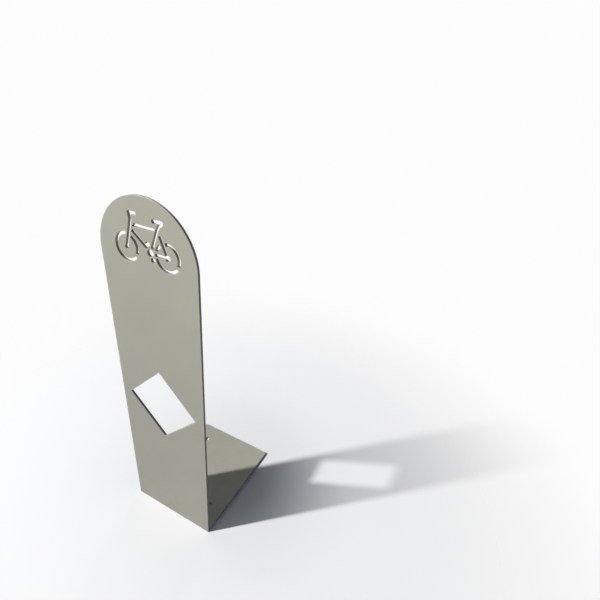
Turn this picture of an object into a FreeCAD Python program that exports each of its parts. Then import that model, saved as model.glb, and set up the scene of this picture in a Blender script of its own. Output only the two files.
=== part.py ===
# Flat-plate bike rack: an upright steel plate with a half-round top, a bicycle sign and
# a diamond lock window cut through it, welded to a flat foot plate that lies behind it.
# Millimetres. +Z up, front face towards -Y, origin on the ground at the middle of the rack.
import FreeCAD, Part

import os
from math import atan2, pi, sqrt

import Sketcher
from FreeCAD import Rotation, Vector

doc = FreeCAD.newDocument("bike_rack")
sheet = doc.addObject("Spreadsheet::Sheet", "Sizes")

SIZES = [
    # the two plates
    ("plate_width", 250),
    ("plate_height", 900),
    ("plate_thick", 6),
    ("foot_length", 300),
    ("foot_thick", 6),
    ("edge_round", 0.8),
    # the diamond lock window, corner to corner, and its centre above the ground
    ("window_across", 200),
    ("window_height", 400),
    # the two anchor holes, far apart on a diagonal of the foot, and how far the middle
    # between them lies behind the foot's own
    ("anchor_hole", 14),
    ("anchor_span_side", 160),
    ("anchor_span_back", 190),
    ("anchor_shift", 2.5),
    # the two welds
    ("bead_leg", 5),
    ("bead_crown", 7),
    ("bead_end_gap", 2),
    ("seam_bevel", 3),
    # the bicycle sign: its hub line below the plate's top, its middle right of the plate's
    ("sign_drop", 108),
    ("sign_shift", 2.5),
    # the sign's wheels, hubs and chainring
    ("wheel_span", 104),
    ("wheel_radius", 31),
    ("ring_width", 7),
    ("front_hub_radius", 5),
    ("rear_hub_radius", 7),
    ("chainring_radius", 8),
    # widths of the sign's strokes
    ("bar_width", 8),
    ("tube_width", 7.2),
    ("post_width", 6.6),
    ("saddle_width", 8.8),
    ("saddle_rear_width", 9),
    ("pedal_width", 10),
    ("pedal_length", 12),
    # how much further the top tube's lower edge reaches to the front, its upper to the back
    ("top_tube_front_slant", 6.5),
    ("top_tube_back_slant", 3.5),
    # how far the sign's cutter stands out of both faces of the plate
    ("cut_margin", 1),
]

# Joints of the sign's bicycle: right of, and above, the point midway between its hubs.
SIGN_POINTS = {
    "grip": (-22.5, 71.3),
    "stem_top": (-37, 71.3),
    "head": (-35.2, 58),
    "top_tube_lower_front": (-32.5, 45),
    "top_tube_upper_back": (26.2, 52.6),
    "down_tube_front": (-33.5, 37.5),
    "down_tube_back": (-0.3, 11),
    "upper_pedal": (3.7, 17.3),
    "lower_pedal": (14.8, -13.4),
    "chainring": (9.2, 0.4),
    "chain_stay_front": (21, 0),
    "seat_tube_foot": (14.6, 10.6),
    "seat_cluster": (30.2, 49.5),
    "seat_stay_top": (36, 40.7),
    "post_top": (39.2, 64),
    "saddle_nose": (23.4, 65.8),
    "saddle_tail": (42.6, 65.9),
    "saddle_rear": (40, 62.2),
}

# Straight strokes of the sign: both end points and the width.
STROKES = {
    "bar": ("stem_top", "grip", "bar_width"),
    "stem": ("head", "stem_top", "tube_width"),
    "fork": ("head", "front_hub", "tube_width"),
    "down_tube": ("down_tube_front", "down_tube_back", "tube_width"),
    "chain_stay": ("chain_stay_front", "rear_hub", "tube_width"),
    "seat_stay": ("seat_stay_top", "rear_hub", "tube_width"),
    "seat_tube": ("seat_tube_foot", "seat_cluster", "post_width"),
    "seat_post": ("seat_cluster", "post_top", "post_width"),
    "saddle_top": ("saddle_nose", "saddle_tail", "saddle_width"),
    "saddle_back": ("saddle_rear", "saddle_tail", "saddle_rear_width"),
}

# Round ends and joints of the strokes, and the sign's discs: the point and its radius.
DISCS = {
    "bar_end": ("grip", "Sizes.bar_width / 2"),
    "bar_bend": ("stem_top", "Sizes.bar_width / 2"),
    "head_joint": ("head", "Sizes.tube_width / 2"),
    "down_tube_end": ("down_tube_back", "Sizes.tube_width / 2"),
    "cluster_joint": ("seat_cluster", "Sizes.post_width / 2"),
    "saddle_nose_end": ("saddle_nose", "Sizes.saddle_width / 2"),
    "saddle_tail_end": ("saddle_tail", "Sizes.saddle_width / 2"),
    "saddle_rear_end": ("saddle_rear", "Sizes.saddle_rear_width / 2"),
    "front_hub_disc": ("front_hub", "Sizes.front_hub_radius"),
    "rear_hub_disc": ("rear_hub", "Sizes.rear_hub_radius"),
    "chainring_disc": ("chainring", "Sizes.chainring_radius"),
}

# Arcs of the two wheel rings: the hub, and where the arc starts and ends, in degrees
# anticlockwise from the right. The steel left between two arcs holds the disc inside.
RING_ARC_ANGLES = {
    "front_ring_long": ("front_hub", 88, 323),
    "front_ring_short": ("front_hub", -23, 59),
    "rear_ring_low": ("rear_hub", 193, 323),
    "rear_ring_high": ("rear_hub", -23, 98),
    "rear_ring_small": ("rear_hub", 128, 162),
}

FRONT_FACE = "-(Sizes.plate_thick + Sizes.foot_length) / 2"
BACK_FACE = "(Sizes.plate_thick - Sizes.foot_length) / 2"
PLATE_ROUND = "min(Sizes.edge_round; Sizes.plate_thick / 4)"
FOOT_ROUND = "min(Sizes.edge_round; Sizes.foot_thick / 4)"
BEVEL = "min(Sizes.seam_bevel; Sizes.foot_thick / 2)"
HALF_WIDTH = "Sizes.plate_width / 2"
TINY = 1e-4


def fill_sheet():
    """Writes every driving size into the sheet, one row each, with its name as alias."""
    rows = list(SIZES)
    for name, (right, above) in SIGN_POINTS.items():
        rows += [(name + "_right", right), (name + "_above", above)]
    for name, (hub, start, end) in RING_ARC_ANGLES.items():
        rows += [(name + "_start", start), (name + "_end", end)]
    for number, (name, value) in enumerate(rows, start=1):
        sheet.set("A%d" % number, name)
        sheet.set("B%d" % number, str(value))
        sheet.setAlias("B%d" % number, name)
    doc.recompute()


def new_body(name, along_y, along_z="0"):
    """A body of one steel piece, placed by two expressions."""
    body = doc.addObject("PartDesign::Body", name)
    body.setExpression("Placement.Base.y", along_y)
    body.setExpression("Placement.Base.z", along_z)
    return body


def new_sketch(body, name, plane):
    """A sketch on one of the body's own origin planes."""
    sketch = body.newObject("Sketcher::SketchObject", name)
    support = [f for f in body.Origin.OriginFeatures if f.Role == plane][0]
    sketch.AttachmentSupport = [(support, "")]
    sketch.MapMode = "FlatFace"
    return sketch


# In the rules and dimensions of every sketch a line or arc goes by its number, with 1 for
# its start, 2 for its end and 3 for its centre. -1 is the sketch's level axis, -2 its
# upright axis, and the pair -1, 1 is its origin.


def bind(sketch, kind, places, expression, first_value):
    """Adds one dimension to a sketch and binds it to an expression of the sheet."""
    number = sketch.addConstraint(Sketcher.Constraint(kind, *places, first_value))
    sketch.setExpression("Constraints[%d]" % number, expression)


def closed_lines(sketch, corners):
    """Straight lines from corner to corner and back to the first, joined at their ends."""
    ends = corners[1:] + corners[:1]
    for start, end in zip(corners, ends):
        sketch.addGeometry(Part.LineSegment(Vector(*start, 0), Vector(*end, 0)))
    for number in range(len(corners)):
        after = (number + 1) % len(corners)
        sketch.addConstraint(Sketcher.Constraint("Coincident", number, 2, after, 1))


def pad(body, sketch, name, length, toward_normal=True, both_ways=False):
    """A plate or bar raised from a sketch."""
    feature = body.newObject("PartDesign::Pad", name)
    feature.Profile = sketch
    feature.Reversed = not toward_normal
    if both_ways:
        feature.SideType = "Symmetric"
    feature.setExpression("Length", length)
    doc.recompute()
    return feature


def pocket(body, sketch, name, toward_normal):
    """A cut-out through the whole plate."""
    solid_before = body.Shape.Volume
    feature = body.newObject("PartDesign::Pocket", name)
    feature.Profile = sketch
    feature.Type = "ThroughAll"
    feature.Reversed = toward_normal
    doc.recompute()
    if body.Shape.Volume > solid_before - 1:
        raise RuntimeError("%s cuts nothing" % name)
    return feature


def edges_where(feature, test):
    """Names of the edges of a feature whose bounding boxes pass a test."""
    edges = enumerate(feature.Shape.Edges, start=1)
    return ["Edge%d" % number for number, edge in edges if test(edge.BoundBox)]


def soften(body, feature, name, test, radius):
    """Rounds the edges that pass a test, as deburring and the coat leave them."""
    rounding = body.newObject("PartDesign::Fillet", name)
    rounding.Base = (feature, edges_where(feature, test))
    rounding.setExpression("Radius", radius)
    doc.recompute()
    return rounding


# Upright plate


def upright_blank():
    """The upright before the sign is cut: outline, softened edges and the lock window."""
    body = new_body("upright_blank", FRONT_FACE)

    outline = new_sketch(body, "upright_outline", "XZ_Plane")
    half, shoulder = sheet.plate_width / 2, sheet.plate_height - sheet.plate_width / 2
    outline.addGeometry(Part.LineSegment(Vector(-half, 0, 0), Vector(half, 0, 0)))
    outline.addGeometry(Part.LineSegment(Vector(half, 0, 0), Vector(half, shoulder, 0)))
    crown = Part.Circle(Vector(0, shoulder, 0), Vector(0, 0, 1), half)
    outline.addGeometry(Part.ArcOfCircle(crown, 0, pi))
    outline.addGeometry(Part.LineSegment(Vector(-half, shoulder, 0), Vector(-half, 0, 0)))
    bottom, right, top, left = range(4)
    for rule in (
        ("Coincident", bottom, 2, right, 1),
        ("Tangent", right, 2, top, 1),
        ("Tangent", top, 2, left, 1),
        ("Coincident", left, 2, bottom, 1),
        ("Vertical", right),
        ("Vertical", left),
        ("Symmetric", bottom, 1, bottom, 2, -2),
        ("PointOnObject", bottom, 1, -1),
    ):
        outline.addConstraint(Sketcher.Constraint(*rule))
    bind(outline, "DistanceX", (bottom, 1, bottom, 2), "Sizes.plate_width", 2 * half)
    bind(outline, "DistanceY", (-1, 1, top, 3), "Sizes.plate_height - " + HALF_WIDTH, shoulder)
    plate = pad(body, outline, "upright_sheet", "Sizes.plate_thick", toward_normal=False)

    def round_the_faces(box):
        """The outline on the front, and on the back all but the edge that is welded."""
        welded = box.YMin > TINY and box.ZMax < TINY
        return box.YLength < TINY and not welded

    soften(body, plate, "upright_edges", round_the_faces, PLATE_ROUND)

    window = new_sketch(body, "lock_window_outline", "XZ_Plane")
    reach, middle = sheet.window_across / 2, sheet.window_height
    corners = [(-reach, middle), (0, middle - reach), (reach, middle), (0, middle + reach)]
    closed_lines(window, corners)
    for rule in (
        ("PointOnObject", 1, 1, -2),
        ("PointOnObject", 3, 1, -2),
        ("Symmetric", 0, 1, 2, 1, -2),
        ("Equal", 0, 3),
    ):
        window.addConstraint(Sketcher.Constraint(*rule))
    bind(window, "DistanceX", (0, 1, 2, 1), "Sizes.window_across", 2 * reach)
    bind(window, "DistanceY", (1, 1, 3, 1), "Sizes.window_across", 2 * reach)
    bind(window, "DistanceY", (-1, 1, 0, 1), "Sizes.window_height", middle)
    pocket(body, window, "lock_window", toward_normal=False)
    return body


def right_of(point):
    """The expression of a sign point's place to the right of the sign's middle."""
    hubs = {"front_hub": "(-Sizes.wheel_span / 2)", "rear_hub": "(Sizes.wheel_span / 2)"}
    return hubs.get(point, "Sizes.%s_right" % point)


def above(point):
    """The expression of a sign point's height over the hub line."""
    return "0" if point in ("front_hub", "rear_hub") else "Sizes.%s_above" % point


# Every cutter of the sign starts behind the plate and ends in front of it.
CUT_START = "-(Sizes.plate_thick + Sizes.cut_margin)"
CUT_DEPTH = "Sizes.plate_thick + 2 * Sizes.cut_margin"


def stroke_cutter(name, start, end, width):
    """A straight stroke with square ends, centred on the line between two sign points."""
    run = "(%s - %s)" % (right_of(end), right_of(start))
    rise = "(%s - %s)" % (above(end), above(start))
    box = doc.addObject("Part::Box", name)
    box.setExpression("Length", "hypot(%s; %s)" % (run, rise))
    box.setExpression("Width", width)
    box.setExpression("Height", CUT_DEPTH)
    turn = "rotation(vector(0; 0; 1); atan2(%s; %s))" % (rise, run)
    start_place = "placement(vector(%s; %s; %s); %s)" % (
        right_of(start), above(start), CUT_START, turn)
    centring = "placement(vector(0; -%s / 2; 0); rotation(vector(0; 0; 1); 0))" % width
    box.setExpression("Placement", start_place + " * " + centring)
    return box


def disc_cutter(name, point, radius):
    """A round hole or round stroke end at a sign point."""
    disc = doc.addObject("Part::Cylinder", name)
    disc.setExpression("Radius", radius)
    disc.setExpression("Height", CUT_DEPTH)
    disc.setExpression("Placement.Base.x", right_of(point))
    disc.setExpression("Placement.Base.y", above(point))
    disc.setExpression("Placement.Base.z", CUT_START)
    return disc


def top_tube_cutter():
    """The level top tube, its front end slanted one way and its back end the other."""
    tube = doc.addObject("Part::Wedge", "top_tube")
    for edge, expression in (
        ("Ymin", above("top_tube_lower_front")),
        ("Ymax", above("top_tube_upper_back")),
        ("Xmin", right_of("top_tube_lower_front")),
        ("X2min", right_of("top_tube_lower_front") + " + Sizes.top_tube_front_slant"),
        ("Xmax", right_of("top_tube_upper_back") + " - Sizes.top_tube_back_slant"),
        ("X2max", right_of("top_tube_upper_back")),
        ("Zmin", CUT_START),
        ("Z2min", CUT_START),
        ("Zmax", "Sizes.cut_margin"),
        ("Z2max", "Sizes.cut_margin"),
    ):
        tube.setExpression(edge, expression)
    return tube


def ring_cutter(name, hub):
    """One arc of a wheel ring: a sector of the wheel's disc less the disc inside the ring."""
    sector = disc_cutter(name + "_sector", hub, "Sizes.wheel_radius")
    sector.setExpression("Angle", "Sizes.%s_end - Sizes.%s_start" % (name, name))
    sector.setExpression("Placement.Rotation.Angle", "Sizes.%s_start" % name)
    core = disc_cutter(name + "_core", hub, "Sizes.wheel_radius - Sizes.ring_width")
    ring = doc.addObject("Part::Cut", name)
    ring.Base, ring.Tool = sector, core
    return ring


def pedal_cutter(name):
    """A pedal: a short level slot with round ends, centred on its sign point."""
    reach = "(Sizes.pedal_length - Sizes.pedal_width) / 2"
    front = disc_cutter(name + "_front", name, "Sizes.pedal_width / 2")
    front.setExpression("Placement.Base.x", "%s - %s" % (right_of(name), reach))
    back = disc_cutter(name + "_back", name, "Sizes.pedal_width / 2")
    back.setExpression("Placement.Base.x", "%s + %s" % (right_of(name), reach))
    middle = doc.addObject("Part::Box", name + "_middle")
    middle.setExpression("Length", "2 * " + reach)
    middle.setExpression("Width", "Sizes.pedal_width")
    middle.setExpression("Height", CUT_DEPTH)
    middle.setExpression("Placement.Base.x", "%s - %s" % (right_of(name), reach))
    middle.setExpression("Placement.Base.y", "%s - Sizes.pedal_width / 2" % above(name))
    middle.setExpression("Placement.Base.z", CUT_START)
    return [front, middle, back]


def sign_cutter():
    """The whole bicycle, drawn flat and stood up on the plate's front face."""
    cutters = [
        stroke_cutter(name, start, end, "Sizes." + width)
        for name, (start, end, width) in STROKES.items()
    ]
    cutters += [disc_cutter(name, point, radius) for name, (point, radius) in DISCS.items()]
    cutters += [ring_cutter(name, hub) for name, (hub, start, end) in RING_ARC_ANGLES.items()]
    cutters += pedal_cutter("upper_pedal") + pedal_cutter("lower_pedal") + [top_tube_cutter()]
    sign = doc.addObject("Part::MultiFuse", "bicycle_sign")
    sign.Shapes = cutters
    sign.Placement.Rotation = Rotation(Vector(1, 0, 0), 90)
    sign.setExpression("Placement.Base.x", "Sizes.sign_shift")
    sign.setExpression("Placement.Base.y", FRONT_FACE)
    sign.setExpression("Placement.Base.z", "Sizes.plate_height - Sizes.sign_drop")
    return sign


def upright_plate():
    plate = doc.addObject("Part::Cut", "upright_plate")
    plate.Base, plate.Tool = upright_blank(), sign_cutter()
    return plate


# Foot plate


def foot_plate():
    """The plate on the ground: bevelled for the seam, edges softened, anchor holes."""
    body = new_body("foot_plate", BACK_FACE)

    outline = new_sketch(body, "foot_outline", "XY_Plane")
    half, length = sheet.plate_width / 2, sheet.foot_length
    closed_lines(outline, [(-half, 0), (half, 0), (half, length), (-half, length)])
    for rule in (
        ("Horizontal", 2),
        ("Vertical", 1),
        ("Vertical", 3),
        ("Symmetric", 0, 1, 0, 2, -2),
        ("PointOnObject", 0, 1, -1),
    ):
        outline.addConstraint(Sketcher.Constraint(*rule))
    bind(outline, "DistanceX", (0, 1, 0, 2), "Sizes.plate_width", 2 * half)
    bind(outline, "DistanceY", (1, 1, 1, 2), "Sizes.foot_length", length)
    plate = pad(body, outline, "foot_sheet", "Sizes.foot_thick")

    bevel = body.newObject("PartDesign::Chamfer", "seam_bevel")
    bevel.Base = (plate, edges_where(plate, lambda box: max(box.YMax, box.ZMax) < TINY))
    bevel.setExpression("Size", BEVEL)
    doc.recompute()

    def off_the_welds(box):
        """Level edges of both faces that reach further back than the bevel."""
        return box.ZLength < TINY and box.YMax > float(bevel.Size) + TINY

    soften(body, bevel, "foot_edges", off_the_welds, FOOT_ROUND)

    holes = new_sketch(body, "anchor_hole_outlines", "XY_Plane")
    middle = "Sizes.foot_length / 2 + Sizes.anchor_shift"
    for number, (side_sign, back_sign) in enumerate(((-1, 1), (1, -1))):
        to_side = side_sign * sheet.anchor_span_side / 2
        to_back = length / 2 + sheet.anchor_shift + back_sign * sheet.anchor_span_back / 2
        round_hole = Part.Circle(Vector(to_side, to_back, 0), Vector(0, 0, 1), sheet.anchor_hole / 2)
        holes.addGeometry(round_hole)
        bind(holes, "DistanceX", (-1, 1, number, 3),
             "%d * Sizes.anchor_span_side / 2" % side_sign, to_side)
        bind(holes, "DistanceY", (-1, 1, number, 3),
             "%s + %d * Sizes.anchor_span_back / 2" % (middle, back_sign), to_back)
        bind(holes, "Diameter", (number,), "Sizes.anchor_hole", sheet.anchor_hole)
    pocket(body, holes, "anchor_holes", toward_normal=True)
    return body


# Welds


def inside_weld():
    """The fillet bead on top of the foot, along the upright's back: two legs and a crown."""
    body = new_body("inside_weld", BACK_FACE, "Sizes.foot_thick")
    profile = new_sketch(body, "bead_profile", "YZ_Plane")
    leg, crown = sheet.bead_leg, sheet.bead_crown
    foot_toe, upright_toe = Vector(leg, 0, 0), Vector(0, leg, 0)
    middle = leg / 2 - sqrt((crown ** 2 - leg ** 2 / 2) / 2)
    turn = atan2(-middle, leg - middle)
    circle = Part.Circle(Vector(middle, middle, 0), Vector(0, 0, 1), crown)
    profile.addGeometry(Part.LineSegment(Vector(0, 0, 0), foot_toe))
    profile.addGeometry(Part.ArcOfCircle(circle, turn, pi / 2 - turn))
    profile.addGeometry(Part.LineSegment(upright_toe, Vector(0, 0, 0)))
    for rule in (
        ("Coincident", 0, 2, 1, 1),
        ("Coincident", 1, 2, 2, 1),
        ("Coincident", 2, 2, 0, 1),
        ("Coincident", 0, 1, -1, 1),
        ("Horizontal", 0),
        ("Vertical", 2),
    ):
        profile.addConstraint(Sketcher.Constraint(*rule))
    bind(profile, "DistanceX", (0, 1, 0, 2), "Sizes.bead_leg", leg)
    bind(profile, "DistanceY", (2, 2, 2, 1), "Sizes.bead_leg", leg)
    bind(profile, "Radius", (1,), "Sizes.bead_crown", crown)
    run = "Sizes.plate_width - 2 * Sizes.bead_end_gap"
    pad(body, profile, "bead", run, both_ways=True)
    return body


def underside_weld():
    """The seam that fills the foot's bevel below, ground flush with both plates."""
    body = new_body("underside_weld", BACK_FACE)
    profile = new_sketch(body, "seam_profile", "YZ_Plane")
    depth = min(sheet.seam_bevel, sheet.foot_thick / 2)
    closed_lines(profile, [(0, 0), (depth, 0), (0, depth)])
    for rule in (("Coincident", 0, 1, -1, 1), ("Horizontal", 0), ("Vertical", 2)):
        profile.addConstraint(Sketcher.Constraint(*rule))
    bind(profile, "DistanceX", (0, 1, 0, 2), BEVEL, depth)
    bind(profile, "DistanceY", (2, 2, 2, 1), BEVEL, depth)
    run = "Sizes.plate_width - 2 * " + FOOT_ROUND
    pad(body, profile, "seam", run, both_ways=True)
    return body


def check(pieces):
    """Stops if any object of the document failed or a piece is not a sound solid."""
    for thing in doc.Objects:
        if {"Invalid", "Error"} & set(thing.State):
            raise RuntimeError("%s failed: %s" % (thing.Label, thing.State))
    for piece in pieces:
        shape = piece.Shape
        if shape.isNull() or not shape.isValid() or len(shape.Solids) != 1:
            raise RuntimeError("%s is not one sound solid" % piece.Label)


fill_sheet()
PIECES = [upright_plate(), foot_plate(), inside_weld(), underside_weld()]
doc.recompute()
check(PIECES)
os.makedirs("parts", exist_ok=True)
for piece in PIECES:
    piece.Shape.exportStep("parts/%s.step" % piece.Label)
    print("%s: %.1f cubic centimetres" % (piece.Label, piece.Shape.Volume / 1000))
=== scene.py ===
# The finish of a flat-plate bike rack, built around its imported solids. Metres.
# +Z up, the front face towards -Y, the origin on the ground at the middle of the rack.
from math import pi, radians

import bpy
import numpy as np
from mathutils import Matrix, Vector
from mathutils.geometry import delaunay_2d_cdt


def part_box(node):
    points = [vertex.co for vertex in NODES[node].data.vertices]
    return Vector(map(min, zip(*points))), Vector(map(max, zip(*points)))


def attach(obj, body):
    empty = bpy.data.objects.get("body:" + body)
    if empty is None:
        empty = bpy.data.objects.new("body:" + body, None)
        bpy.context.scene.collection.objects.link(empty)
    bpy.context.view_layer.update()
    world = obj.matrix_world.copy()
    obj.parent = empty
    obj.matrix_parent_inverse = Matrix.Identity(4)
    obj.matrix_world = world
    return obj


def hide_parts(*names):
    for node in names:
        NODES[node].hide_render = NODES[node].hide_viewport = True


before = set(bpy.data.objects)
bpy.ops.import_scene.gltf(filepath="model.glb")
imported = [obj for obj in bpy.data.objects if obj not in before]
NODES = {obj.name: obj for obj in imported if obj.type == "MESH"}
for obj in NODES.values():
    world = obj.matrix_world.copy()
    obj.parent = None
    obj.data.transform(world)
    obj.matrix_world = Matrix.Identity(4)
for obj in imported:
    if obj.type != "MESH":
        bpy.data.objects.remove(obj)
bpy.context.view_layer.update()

MM = 0.001
SCENE = bpy.context.scene
TINY = 1e-6

# Where the photograph was taken from, the camera's turns in degrees, its lens in millimetres
EYE = (0.5586, -0.6602, 1.0891)
TILT, ROLL, HEADING = 61.871, -4.921, 26.718
LENS = 23.465

# Towards the key lamp, as the photograph's shadows tell, and towards the low lamp behind
KEY_SIDE = Vector((-0.601, -0.556, 0.572)).normalized()
BACK_SIDE = Vector((-0.27, 0.96, 0)).normalized()

# Each lamp's side, its distance from the upright's middle, its width and its watts
UPRIGHT_MIDDLE = Vector((0, -0.15, 0.45))
LAMPS = {
    "key": (KEY_SIDE, 6.0, 0.25, 485),
    "back_fill": (BACK_SIDE, 3.2, 0.8, 30),
}

# The world as light in the shade, and as the backdrop that is seen
SHADE_LIGHT = (0.05, 0.062, 0.082, 1)
BACKDROP = (0.98, 0.98, 0.98, 1)

# The floor's half width, and its paint as it is seen and as it throws light back
FLOOR_REACH = 6.0
FLOOR_SEEN = (0.93, 0.93, 0.93, 1)
FLOOR_BOUNCE = (0.3, 0.3, 0.3, 1)

# Rounding of the plates' outlines and of their cut-outs, and the foot's weld bevel
EDGE_ROUND = 0.8 * MM
CUT_ROUND = 0.3 * MM
FOOT_BEVEL = 3 * MM
ROUND_ROWS = 5

# The most that one chord of an arc turns, and the least that a sharp corner turns
ARC_STEP = radians(2.5)
CORNER_TURN = radians(20)

# The plates' measures that the wear follows
HALF_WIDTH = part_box("upright_plate")[1][0]
SHOULDER = round(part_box("upright_plate")[1][2], 3) - HALF_WIDTH
FOOT_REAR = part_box("foot_plate")[1][1]
WINDOW_MIDDLE, WINDOW_HALF = 0.4, 0.1

# Each sheet's own origin, on its first face, and its directions across, up and into the steel
UPRIGHT_ORIGIN = (0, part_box("upright_plate")[0][1], 0)
UPRIGHT_AXES = [(1, 0, 0), (0, 0, 1), (0, 1, 0)]
FOOT_ORIGIN = (0, 0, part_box("foot_plate")[1][2])
FOOT_AXES = [(1, 0, 0), (0, 1, 0), (0, 0, -1)]

# Weld bead: its legs, the radius of its crown, and how far its ends taper
BEAD_LEG = 5 * MM
BEAD_CROWN = 7 * MM
BEAD_TAPER = 4 * MM

# The bead's ripples, how far they lag at its toes, and the crater where the pass stopped
RIPPLE_PITCH = 2.6 * MM
RIPPLE_DEPTH = 0.32 * MM
RIPPLE_LAG = 1.5 * MM
CRATER_DEPTH = 0.5 * MM
CRATER_WIDTH = 2.2 * MM

# Pebble grey powder coat
COAT_PALE = (0.42, 0.416, 0.34, 1)
COAT_DEEP = (0.31, 0.308, 0.257, 1)
# The pale of worn edges and scratches, and of the highlight painted along the edges
WORN_AND_HIGHLIGHT_COLOUR = (0.5, 0.49, 0.42, 1)
GRIME_COLOUR = (0.21, 0.2, 0.175, 1)

# The coat's relief
PEEL_DEPTH = 0.07 * MM
GRAIN_DEPTH = 0.025 * MM
SCRATCH_DEPTH = 0.03 * MM
STRIATION_DEPTH = 0.09 * MM


# Sheets of steel


def solid_triangles(node, origin, axes):
    """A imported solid's triangles in a sheet's own directions: across, up and into the sheet.

    Each point less the sheet's origin is measured along the three axes. The result is an
    array of (triangle, corner, direction)."""
    mesh = node.data
    mesh.calc_loop_triangles()
    points = np.empty(3 * len(mesh.vertices), dtype=np.float32)
    mesh.vertices.foreach_get("co", points)
    corners = np.empty(3 * len(mesh.loop_triangles), dtype=np.int32)
    mesh.loop_triangles.foreach_get("vertices", corners)
    return (points.reshape(-1, 3)[corners.reshape(-1, 3)] - origin) @ axes.T


def cut_out_edges(triangles):
    """The edges of a sheet's cut-outs on its first face, with the steel on their left.

    A wall's triangle has a normal at right angles to the thickness. Its edge at no depth
    is an edge of the cut-out, taken backwards, because the wall is the face's neighbour.
    Gives where each edge starts, and the number of the edge that follows it."""
    normal = np.cross(triangles[:, 1] - triangles[:, 0], triangles[:, 2] - triangles[:, 0])
    size = np.maximum(np.linalg.norm(normal, axis=1), 1e-15)
    wall = triangles[np.abs(normal[:, 2]) < 0.01 * size]
    end, start = wall.reshape(-1, 3), np.roll(wall, -1, axis=1).reshape(-1, 3)
    bottom = triangles[..., 1].min()
    chosen = (np.maximum(start[:, 2], end[:, 2]) < TINY) & (start[:, 1] > bottom + MM)
    start, end = start[chosen, :2], end[chosen, :2]
    places = np.unique(np.round(np.concatenate([start, end]), 6), axis=0, return_inverse=True)[1]
    start_place, end_place = places.reshape(2, -1)
    order = np.argsort(start_place)
    follow = order[np.searchsorted(start_place, end_place, sorter=order)]
    return start.astype(float), follow


def refine_arcs(start, follow):
    """Splits every edge that is a chord of an arc, so that none turns more than ARC_STEP.

    A corner is inside an arc if it turns little and its two edges are equally long. A
    chord of length L and angle a has the radius L / (2 sin(a / 2)), and a point at the
    angle t from its middle lies L / 2 + radius sin t along it and radius (cos t -
    cos(a / 2)) to its right."""
    before = np.argsort(follow)
    step = start[follow] - start
    length = np.hypot(step[:, 0], step[:, 1])
    heading = np.arctan2(step[:, 1], step[:, 0])
    turn = (heading - heading[before] + pi) % (2 * pi) - pi
    inside = (np.abs(turn) < CORNER_TURN) & (np.abs(length / length[before] - 1) < 0.03)
    votes = inside.astype(int) + inside[follow]
    angle = (turn * inside + (turn * inside)[follow]) / np.maximum(votes, 1)
    angle[np.abs(angle) < 1e-4] = 1e-4

    parts = np.ceil(np.abs(angle) / ARC_STEP).astype(int)
    chord = np.repeat(np.arange(len(start)), parts)
    first = np.cumsum(parts) - parts
    share = (np.arange(len(chord)) - first[chord]) / parts[chord]
    swing = (share - 0.5) * angle[chord]
    radius = (length / (2 * np.sin(angle / 2)))[chord]
    along = length[chord] / 2 + radius * np.sin(swing)
    aside = radius * (np.cos(swing) - np.cos(angle[chord] / 2))
    ahead = step[chord] / length[chord, None]
    right = np.stack([ahead[:, 1], -ahead[:, 0]], axis=1)
    refined = start[chord] + along[:, None] * ahead + aside[:, None] * right

    after = np.arange(1, len(chord) + 1)
    after[first + parts - 1] = first[follow]
    return refined, after


def mitred(start, follow, inset_before, inset_here):
    """How far each corner moves into the steel, by the insets of its two edges.

    Both edges move along their inward normals. The moved corner is where they meet:
    ((i - c j) n + (j - c i) m) / (1 - c c) for the normals n and m, the insets i and j
    and c = n.m, or (i n + j m) / (1 + c) where the edges are nearly in line."""
    before = np.argsort(follow)
    step = start[follow] - start
    step /= np.linalg.norm(step, axis=1, keepdims=True)
    here = np.stack([-step[:, 1], step[:, 0]], axis=1)[:, None]
    last = here[before]
    bend = (here * last).sum(axis=2, keepdims=True)
    i, j = inset_before[..., None], inset_here[..., None]
    in_line = (i * last + j * here) / np.maximum(1 + bend, 0.1)
    corner = ((i - bend * j) * last + (j - bend * i) * here) / np.maximum(1 - bend ** 2, 0.2)
    return np.where(bend > 0.9, in_line, corner)


def profile_depths(corner_round, thick):
    """The depth of each row of the edge's profile, for the rounding at each corner.

    ROUND_ROWS rows follow each face's rounding, at r (1 - cos a) below the face for even
    steps of the angle a, and one row lies midway."""
    down = corner_round[:, None] * (1 - np.cos(np.linspace(0, pi / 2, ROUND_ROWS)))
    midway = np.full((len(corner_round), 1), thick / 2)
    return np.concatenate([down, midway, thick - down[:, ::-1]], axis=1)


def edge_inset(depth, thick, first, second, bevel):
    """How far a wall stands back at a depth: a quarter round at each face, or a bevel.

    A quarter round of radius r stands back r - sqrt(r r - (r - d)(r - d)) at the depth d
    below its face, and the 45 degree bevel as much as the depth past its start."""
    inset = np.clip(depth - (thick - bevel[:, None]), 0, None)
    for radius, below in ((first[:, None], depth), (second[:, None], thick - depth)):
        left = np.clip(radius - below, 0, None)
        inset = inset + radius - np.sqrt(np.clip(radius ** 2 - left ** 2, 0, None))
    return inset


def in_steel(places, start, follow):
    """Which places lie in the steel: a ray to the right crosses an odd number of edges."""
    end = start[follow]
    rise = np.where(end[:, 1] == start[:, 1], 1, end[:, 1] - start[:, 1])
    across, up = places[:, :1], places[:, 1:]
    straddles = (start[:, 1] > up) != (end[:, 1] > up)
    met = start[:, 0] + (up - start[:, 1]) / rise * (end[:, 0] - start[:, 0])
    return (straddles & (met > across)).sum(axis=1) % 2 == 1


def face_triangles(name, corners, follow):
    """The triangles that fill a face between its outline and its cut-outs.

    The face is triangulated with every edge of the loops kept, and the triangles whose
    middles lie in the steel stay. Each is three numbers of corners."""
    edges = np.stack([np.arange(len(corners)), follow], axis=1).tolist()
    found = delaunay_2d_cdt([Vector(p) for p in corners.tolist()], edges, [], 2, 1e-9)
    if len(found[0]) != len(corners):
        raise RuntimeError("%s: an outline crosses itself" % name)
    number = np.array([sources[0] for sources in found[3]])
    fill = number[np.array(found[2])]
    return fill[in_steel(corners[fill].mean(axis=1), corners, follow)]


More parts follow.
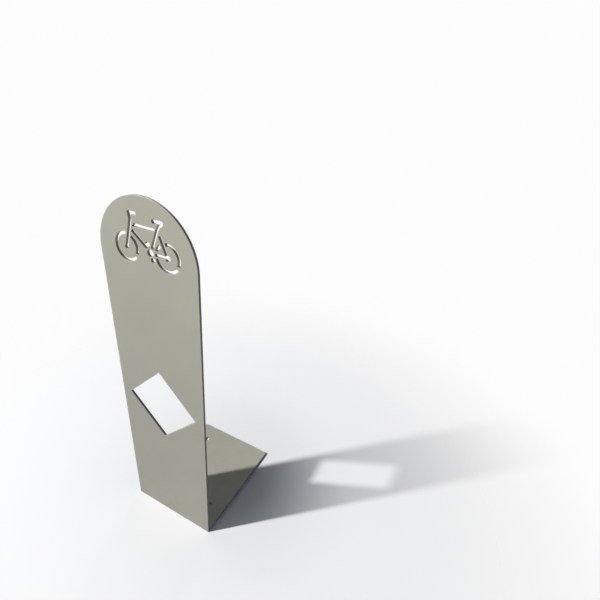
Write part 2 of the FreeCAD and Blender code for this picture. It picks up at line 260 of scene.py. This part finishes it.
def keep_corners_crisp(mesh, start, follow, rows):
    """Marks the edges that run through the thickness at the loops' corners as sharp."""
    step = start[follow] - start
    step /= np.linalg.norm(step, axis=1, keepdims=True)
    crisp = (step * step[np.argsort(follow)]).sum(axis=1) < np.cos(CORNER_TURN)
    pairs = np.empty(2 * len(mesh.edges), dtype=np.int32)
    mesh.edges.foreach_get("vertices", pairs)
    corner = pairs.reshape(-1, 2) // rows
    same = corner[:, 0] == corner[:, 1]
    mesh.edges.foreach_set("use_edge_sharp", same & crisp[corner[:, 0]])


def finished(name, mesh, node):
    """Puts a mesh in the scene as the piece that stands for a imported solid."""
    piece = bpy.data.objects.new(name, mesh)
    SCENE.collection.objects.link(piece)
    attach(piece, "root")
    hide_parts(node)
    return piece


def sheet(name, node, origin, axes, border, bevel=0):
    """A steel plate with softened edges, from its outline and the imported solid's cut-outs.

    The profile of the edge is carried round the outline and every cut-out, and both faces
    are filled with triangles. The last edge of the outline is the welded one, with no
    rounding at the second face. If it has a bevel, the bevel is there, and neither face
    is rounded along it."""
    axes = np.array(axes, dtype=float)
    triangles = solid_triangles(NODES[node], np.array(origin), axes)
    thick = triangles[..., 2].max()
    holes, hole_follow = refine_arcs(*cut_out_edges(triangles))
    rim = len(border)
    start = np.concatenate([border, holes])
    follow = np.concatenate([(np.arange(rim) + 1) % rim, rim + hole_follow])
    total = len(start)

    # The rows of the profile at each corner, moved in by both of its edges
    first = np.where(np.arange(total) < rim, EDGE_ROUND, CUT_ROUND)
    depth = profile_depths(first, thick)
    second, cut = first.copy(), np.zeros(total)
    second[rim - 1] = 0
    if bevel:
        first[rim - 1] = 0
        cut[rim - 1] = bevel
    before = np.argsort(follow)
    here = edge_inset(depth, thick, first, second, cut)
    last = edge_inset(depth, thick, first[before], second[before], cut[before])
    plan = start[:, None] + mitred(start, follow, last, here)
    points = np.concatenate([plan, depth[..., None]], axis=2).reshape(-1, 3)

    # Strips of quads round the loops, then both faces
    rows = depth.shape[1]
    column, row = np.meshgrid(np.arange(total), np.arange(rows - 1), indexing="ij")
    low, high = column * rows + row, follow[column] * rows + row
    strips = np.stack([low, low + 1, high + 1, high], axis=2).reshape(-1, 4)
    fill = face_triangles(name, plan[:, 0], follow) * rows
    faces = strips.tolist() + fill.tolist() + (fill[:, ::-1] + rows - 1).tolist()

    mesh = bpy.data.meshes.new(name)
    mesh.from_pydata((np.array(origin) + points @ axes).tolist(), [], faces)
    mesh.polygons.foreach_set("use_smooth", np.arange(len(faces)) < len(strips))
    keep_corners_crisp(mesh, start, follow, rows)
    return finished(name, mesh, node)


def half_round_outline():
    """The upright's outline, in order: the right side, the half circle, the left side, the bottom.

    A point of the half circle at the angle t is (R cos t, shoulder + R sin t)."""
    turn = np.linspace(0, pi, 1 + round(pi / ARC_STEP))
    top = HALF_WIDTH * np.stack([np.cos(turn), np.sin(turn)], axis=1) + [0, SHOULDER]
    return np.concatenate([[(HALF_WIDTH, 0)], top, [(-HALF_WIDTH, 0)]])


def foot_outline():
    """The foot's four corners, from its front right round to its front left."""
    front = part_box("foot_plate")[0][1]
    side = HALF_WIDTH
    return np.array([(side, front), (side, FOOT_REAR), (-side, FOOT_REAR), (-side, front)])


# Weld bead


def weld_bead():
    """The fillet bead in the inside corner, as one welder's pass leaves it under the coat.

    Across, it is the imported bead's own crown: at the angle a from the foot, a point is
    m (cos a + sin a) + sqrt(m m (cos a + sin a)^2 - 2 m m + R R) from the corner, with the
    crown's centre at (m, m). Along, that reach shrinks by rounded ripples whose fronts lag
    towards the toes, by a slow drift of the leg, by the crater where the pass stopped,
    and in an ellipse at both ends. Each ring goes back through the corner."""
    low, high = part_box("inside_weld")
    corner = np.array([0, low[1], low[2]])
    along = np.linspace(low[0], high[0], 801)[:, None]
    angle = np.linspace(0, pi / 2, 17)[None]
    middle = BEAD_LEG / 2 - ((BEAD_CROWN ** 2 - BEAD_LEG ** 2 / 2) / 2) ** 0.5
    lean = middle * (np.cos(angle) + np.sin(angle))
    crown = lean + np.sqrt(lean ** 2 - 2 * middle ** 2 + BEAD_CROWN ** 2)

    # Ripples at an uneven pitch, the drift of a hand, the crater and the tapered ends
    lag = RIPPLE_LAG * (angle / (pi / 4) - 1) ** 2
    wander = 0.35 * MM * np.sin(190 * along) + 0.25 * MM * np.sin(447 * along + 1)
    phase = (along + lag + wander) / RIPPLE_PITCH % 1
    ripple = RIPPLE_DEPTH * (1 - np.sqrt(1 - (1.9 * phase - 0.95) ** 2))
    drift = 0.1 * MM * (2 + np.sin(83 * along + 0.6) + np.sin(37 * along + 2 * angle))
    stop = (along - high[0]) / CRATER_WIDTH + 2.7
    crater = CRATER_DEPTH * np.exp(-stop ** 2) * np.sin(2 * angle)
    to_end = np.minimum(along - low[0], high[0] - along) / BEAD_TAPER
    end = 0.25 + 0.75 * np.sqrt(1 - np.clip(1 - to_end, 0, 1) ** 2)
    reach = (crown - ripple - drift - crater) * end

    x = np.broadcast_to(along, reach.shape)
    bead = np.stack([x, reach * np.cos(angle), reach * np.sin(angle)], axis=2)
    root = np.stack([along, 0 * along, 0 * along], axis=2)
    rings = np.concatenate([bead, root], axis=1)[1:-1]
    count, width = rings.shape[:2]
    points = np.concatenate([rings.reshape(-1, 3), root[0], root[-1]]) + corner

    # Quads from ring to ring, and a fan of triangles to the point at each end
    here = np.arange(count * width).reshape(count, width)
    above = np.roll(here, -1, axis=1)
    sides = np.stack([here[:-1], above[:-1], above[1:], here[1:]], axis=2).reshape(-1, 4)
    tip = np.full(width, count * width)
    first = np.stack([tip, above[0], here[0]], axis=1)
    last = np.stack([tip + 1, here[-1], above[-1]], axis=1)
    mesh = bpy.data.meshes.new("weld_bead")
    mesh.from_pydata(points.tolist(), [], sides.tolist() + first.tolist() + last.tolist())
    column = np.arange(len(mesh.polygons)) % width
    mesh.polygons.foreach_set("use_smooth", column < width - 2)
    return finished("weld_bead", mesh, "inside_weld")


# Shader nodes


def add(tree, kind, inputs=None, **settings):
    """Adds a node. An input is a plain value, or another node's output to link to it."""
    made = tree.nodes.new(kind)
    for name, value in settings.items():
        setattr(made, name, value)
    for name, value in (inputs or {}).items():
        if isinstance(value, bpy.types.NodeSocket):
            tree.links.new(value, made.inputs[name])
        else:
            made.inputs[name].default_value = value
    return made


def sums(tree, operation, first, second=0.5):
    """One step of arithmetic between two values or outputs; some kinds use only the first."""
    return add(tree, "ShaderNodeMath", {0: first, 1: second}, operation=operation).outputs[0]


def noise(tree, place, scale, detail=2.0, roughness=0.5):
    """Smooth random hills, with scale as their number per metre."""
    inputs = {"Vector": place, "Scale": scale, "Detail": detail, "Roughness": roughness}
    return add(tree, "ShaderNodeTexNoise", inputs).outputs["Fac"]


def spread(tree, value, low, high, out_low=0.0, out_high=1.0):
    """Stretches a value from low..high to out_low..out_high, eased at both ends."""
    inputs = {"Value": value, "From Min": low, "From Max": high}
    inputs.update({"To Min": out_low, "To Max": out_high})
    made = add(tree, "ShaderNodeMapRange", inputs, interpolation_type="SMOOTHSTEP")
    return made.outputs["Result"]


def mixed(tree, factor, first, second):
    """Two colours mixed by a factor."""
    made = add(tree, "ShaderNodeMix", {"Factor": factor, 6: first, 7: second}, data_type="RGBA")
    return made.outputs[2]


def bumped(tree, height, distance, normal=None):
    """The shading normal over hills of a height from 0 to 1 times a distance."""
    inputs = {"Height": height, "Distance": distance, "Strength": 1.0}
    if normal:
        inputs["Normal"] = normal
    return add(tree, "ShaderNodeBump", inputs).outputs["Normal"]


# Powder coat


def coat_colour_and_painted_light(tree, place, parts, through):
    """The coat's grey, from deep to pale: a slow drift, fine grain, and painted light.

    The painted light makes the coat paler up the upright, to the rear on the foot, and to
    the right on both."""
    tone = sums(tree, "MULTIPLY", spread(tree, noise(tree, place, 4.0, 3.0), 0.3, 0.7), 0.25)
    grain = spread(tree, noise(tree, place, 1400.0, 1.0), 0.3, 0.7)
    # Painted light: paler up the upright, and to the rear on the foot
    if through == 2:
        painted_light_up_or_back = spread(tree, parts[1], -0.16, 0.02)
    else:
        painted_light_up_or_back = spread(tree, parts[2], 0.4, 0.78)
    # Painted light: paler to the right
    painted_light_to_right = spread(tree, parts[0], -HALF_WIDTH, HALF_WIDTH)
    for share, part in ((0.15, grain), (0.35, painted_light_up_or_back), (0.25, painted_light_to_right)):
        tone = sums(tree, "ADD", tone, sums(tree, "MULTIPLY", part, share))
    return mixed(tree, tone, COAT_DEEP, COAT_PALE)


def ground_dust(tree, place, height):
    """Thin patches of dust that end 160 mm above the ground."""
    low_down = spread(tree, height, 0.0, 0.16, 1.0, 0.0)
    patches = spread(tree, noise(tree, place, 22.0, 5.0, 0.62), 0.46, 0.72)
    return sums(tree, "MULTIPLY", sums(tree, "MULTIPLY", low_down, patches), 0.12)


def in_from_edge(tree, parts, through):
    """How far a point lies from the nearest edge that hands, wheels and locks rub, and along
    which a highlight is painted.

    On the upright that is the smaller of R - sqrt(x x + t t), with t the height above the
    shoulder, and (|x| + |z - m| - h) / sqrt 2 outside the window with the middle m and
    the half diagonal h. On the foot it is the way to its sides or its rear edge."""
    off_middle = sums(tree, "ABSOLUTE", parts[0])
    if through == 2:
        beside = sums(tree, "SUBTRACT", HALF_WIDTH, off_middle)
        return sums(tree, "MINIMUM", beside, sums(tree, "SUBTRACT", FOOT_REAR, parts[1]))
    over = sums(tree, "MAXIMUM", sums(tree, "SUBTRACT", parts[2], SHOULDER), 0.0)
    over_squared = sums(tree, "POWER", over, 2.0)
    squares = sums(tree, "ADD", sums(tree, "POWER", off_middle, 2.0), over_squared)
    rim = sums(tree, "SUBTRACT", HALF_WIDTH, sums(tree, "SQRT", squares))
    height = sums(tree, "ABSOLUTE", sums(tree, "SUBTRACT", parts[2], WINDOW_MIDDLE))
    past = sums(tree, "SUBTRACT", sums(tree, "ADD", off_middle, height), WINDOW_HALF)
    return sums(tree, "MINIMUM", rim, sums(tree, "MULTIPLY", past, 0.707))


def rubbed_edges_and_painted_highlight(tree, place, inward):
    """Polish and a painted highlight: the last 4 mm to an edge, more in some places.

    Use has polished the coat there, and its paleness there is partly that wear and partly
    a painted highlight along the edges.
    """
    edge = spread(tree, inward, 0.0, 0.004, 1.0, 0.0)
    more = spread(tree, noise(tree, place, 60.0, 3.0), 0.4, 0.65, 0.25, 1.0)
    return sums(tree, "MULTIPLY", edge, more)


def hairline_scratches(tree, place, inward):
    """Patches of fine scratches near the edges: the peaks of a noise drawn out into lines."""
    drawn = {"Vector": place, "Rotation": (0.3, 0.6, 0.5), "Scale": (30.0, 700.0, 700.0)}
    lines = noise(tree, add(tree, "ShaderNodeMapping", drawn).outputs[0], 1.0, 1.0)
    near = spread(tree, inward, 0.0, 0.05, 1.0, 0.0)
    patches = spread(tree, noise(tree, place, 35.0, 2.0), 0.5, 0.62)
    scratch = sums(tree, "MULTIPLY", spread(tree, lines, 0.68, 0.76), near)
    return sums(tree, "MULTIPLY", scratch, patches)


def cutter_striations(tree, place, through):
    """The lines that the cutter leaves on the cut walls, straight through the thickness.

    They are a noise that hardly changes along the axis through the sheet, kept where the
    surface faces away from that axis."""
    facing = add(tree, "ShaderNodeNewGeometry").outputs["True Normal"]
    square = add(tree, "ShaderNodeSeparateXYZ", {0: facing}).outputs[through]
    wall = spread(tree, sums(tree, "ABSOLUTE", square), 0.15, 0.5, 1.0, 0.0)
    flattened = [1.0, 1.0, 1.0]
    flattened[through] = 0.02
    squeezed = add(tree, "ShaderNodeMapping", {"Vector": place, "Scale": flattened})
    lines = noise(tree, squeezed.outputs[0], 900.0, 2.0)
    return sums(tree, "MULTIPLY", lines, wall)


def coat_material(name, through=None):
    """Satin powder coat over steel, with orange peel, fine grain, dust near the ground, and
    painted light that makes it paler upwards, to the rear and to the right.

    On a sheet, through is the number of the axis through it. Its edges are worn paler and
    smoother, the paleness partly wear and partly a painted highlight, with hairline
    scratches, and its cut walls show the cutter's striations."""
    coat = bpy.data.materials.new(name)
    coat.use_nodes = True
    tree = coat.node_tree
    shader = tree.nodes["Principled BSDF"]
    shader.inputs["Specular IOR Level"].default_value = 0.35
    place = add(tree, "ShaderNodeTexCoord").outputs["Object"]
    parts = add(tree, "ShaderNodeSeparateXYZ", {0: place}).outputs
    dust = ground_dust(tree, place, parts[2])
    colour = mixed(tree, dust, coat_colour_and_painted_light(tree, place, parts, through), GRIME_COLOUR)

    # Wiped patches, duller under the dust
    dullness = spread(tree, noise(tree, place, 9.0, 3.0), 0.35, 0.68, 0.4, 0.47)
    dullness = sums(tree, "ADD", dullness, sums(tree, "MULTIPLY", dust, 0.7))

    # Orange peel of a few millimetres, and a finer grain
    normal = bumped(tree, noise(tree, place, 360.0, 1.0), PEEL_DEPTH)
    normal = bumped(tree, noise(tree, place, 1600.0, 1.0), GRAIN_DEPTH, normal)

    if through is not None:
        inward = in_from_edge(tree, parts, through)
        worn_and_highlit = rubbed_edges_and_painted_highlight(tree, place, inward)
        # Paler edges: partly worn coat, partly a painted highlight along the edges
        colour = mixed(tree, sums(tree, "MULTIPLY", worn_and_highlit, 0.5), colour, WORN_AND_HIGHLIGHT_COLOUR)
        dullness = sums(tree, "SUBTRACT", dullness, sums(tree, "MULTIPLY", worn_and_highlit, 0.2))
        scratch = hairline_scratches(tree, place, inward)
        colour = mixed(tree, sums(tree, "MULTIPLY", scratch, 0.5), colour, WORN_AND_HIGHLIGHT_COLOUR)
        normal = bumped(tree, sums(tree, "SUBTRACT", 1.0, scratch), SCRATCH_DEPTH, normal)
        normal = bumped(tree, cutter_striations(tree, place, through), STRIATION_DEPTH, normal)

    tree.links.new(colour, shader.inputs["Base Color"])
    tree.links.new(dullness, shader.inputs["Roughness"])
    tree.links.new(normal, shader.inputs["Normal"])
    return coat


# Stage


def photo_camera():
    """The photograph's standpoint and lens, aimed by tilt, roll and heading in degrees."""
    camera = bpy.data.objects.new("photo_camera", bpy.data.cameras.new("photo_camera"))
    SCENE.collection.objects.link(camera)
    camera.location = EYE
    camera.rotation_euler = (radians(TILT), radians(ROLL), radians(HEADING))
    camera.data.lens = LENS
    camera.data.clip_start = 0.02
    SCENE.camera = camera


def seen(tree):
    """1 for what the camera sees directly, in a reflection or through glass, else 0."""
    ray = add(tree, "ShaderNodeLightPath").outputs
    direct = sums(tree, "MAXIMUM", ray["Is Camera Ray"], ray["Is Glossy Ray"])
    return sums(tree, "MAXIMUM", direct, ray["Is Transmission Ray"])


def pale_floor():
    """A matt pale floor that takes the rack's shadow and fades into the white backdrop.

    As it is seen it turns clear away from the rack, half of it from 0.14 to 0.5 m and
    half from 0.4 to 1.4 m out."""
    side = FLOOR_REACH
    mesh = bpy.data.meshes.new("floor")
    corners = [(-side, -side, 0), (side, -side, 0), (side, side, 0), (-side, side, 0)]
    mesh.from_pydata(corners, [], [(0, 1, 2, 3)])
    floor = bpy.data.objects.new("floor", mesh)
    SCENE.collection.objects.link(floor)

    paint = bpy.data.materials.new("floor_paint")
    paint.use_nodes = True
    tree = paint.node_tree
    tree.nodes.remove(tree.nodes["Principled BSDF"])
    in_view = seen(tree)
    colour = mixed(tree, in_view, FLOOR_BOUNCE, FLOOR_SEEN)
    matt = add(tree, "ShaderNodeBsdfDiffuse", {"Color": colour}).outputs[0]
    place = add(tree, "ShaderNodeTexCoord").outputs["Object"]
    away = add(tree, "ShaderNodeVectorMath", {0: place}, operation="LENGTH").outputs["Value"]
    near = spread(tree, away, 0.14, 0.5, 0.0, 0.5)
    far = spread(tree, away, 0.4, 1.4, 0.0, 0.5)
    fade = sums(tree, "MULTIPLY", sums(tree, "ADD", near, far), in_view)
    clear = add(tree, "ShaderNodeBsdfTransparent").outputs[0]
    blend = add(tree, "ShaderNodeMixShader", {0: fade, 1: matt, 2: clear}).outputs[0]
    tree.links.new(blend, tree.nodes["Material Output"].inputs["Surface"])
    mesh.materials.append(paint)


def studio_light():
    """A soft key from the front left, a low soft lamp behind, and the white backdrop."""
    for name, (side, away, width, watts) in LAMPS.items():
        lamp = bpy.data.lights.new(name, "AREA")
        lamp.shape = "DISK"
        lamp.size = width
        lamp.energy = watts
        light = bpy.data.objects.new(name, lamp)
        light.location = UPRIGHT_MIDDLE + away * side
        light.rotation_euler = side.to_track_quat("Z", "Y").to_euler()
        SCENE.collection.objects.link(light)

    world = bpy.data.worlds.new("studio")
    world.use_nodes = True
    tree = world.node_tree
    light_or_backdrop = mixed(tree, seen(tree), SHADE_LIGHT, BACKDROP)
    tree.links.new(light_or_backdrop, tree.nodes["Background"].inputs["Color"])
    SCENE.world = world


# The pieces and their coats

upright = sheet(
    "upright_sheet", "upright_plate", UPRIGHT_ORIGIN, UPRIGHT_AXES, half_round_outline())
foot = sheet("foot_sheet", "foot_plate", FOOT_ORIGIN, FOOT_AXES, foot_outline(), FOOT_BEVEL)
bead = weld_bead()

COATED_WELD = coat_material("coat_over_weld")
for piece, coat in (
    (upright, coat_material("coat_on_upright", 1)),
    (foot, coat_material("coat_on_foot", 2)),
    (bead, COATED_WELD),
    (NODES["underside_weld"], COATED_WELD),
):
    piece.data.materials.clear()
    piece.data.materials.append(coat)

photo_camera()
pale_floor()
studio_light()
SCENE.view_settings.view_transform = "Standard"
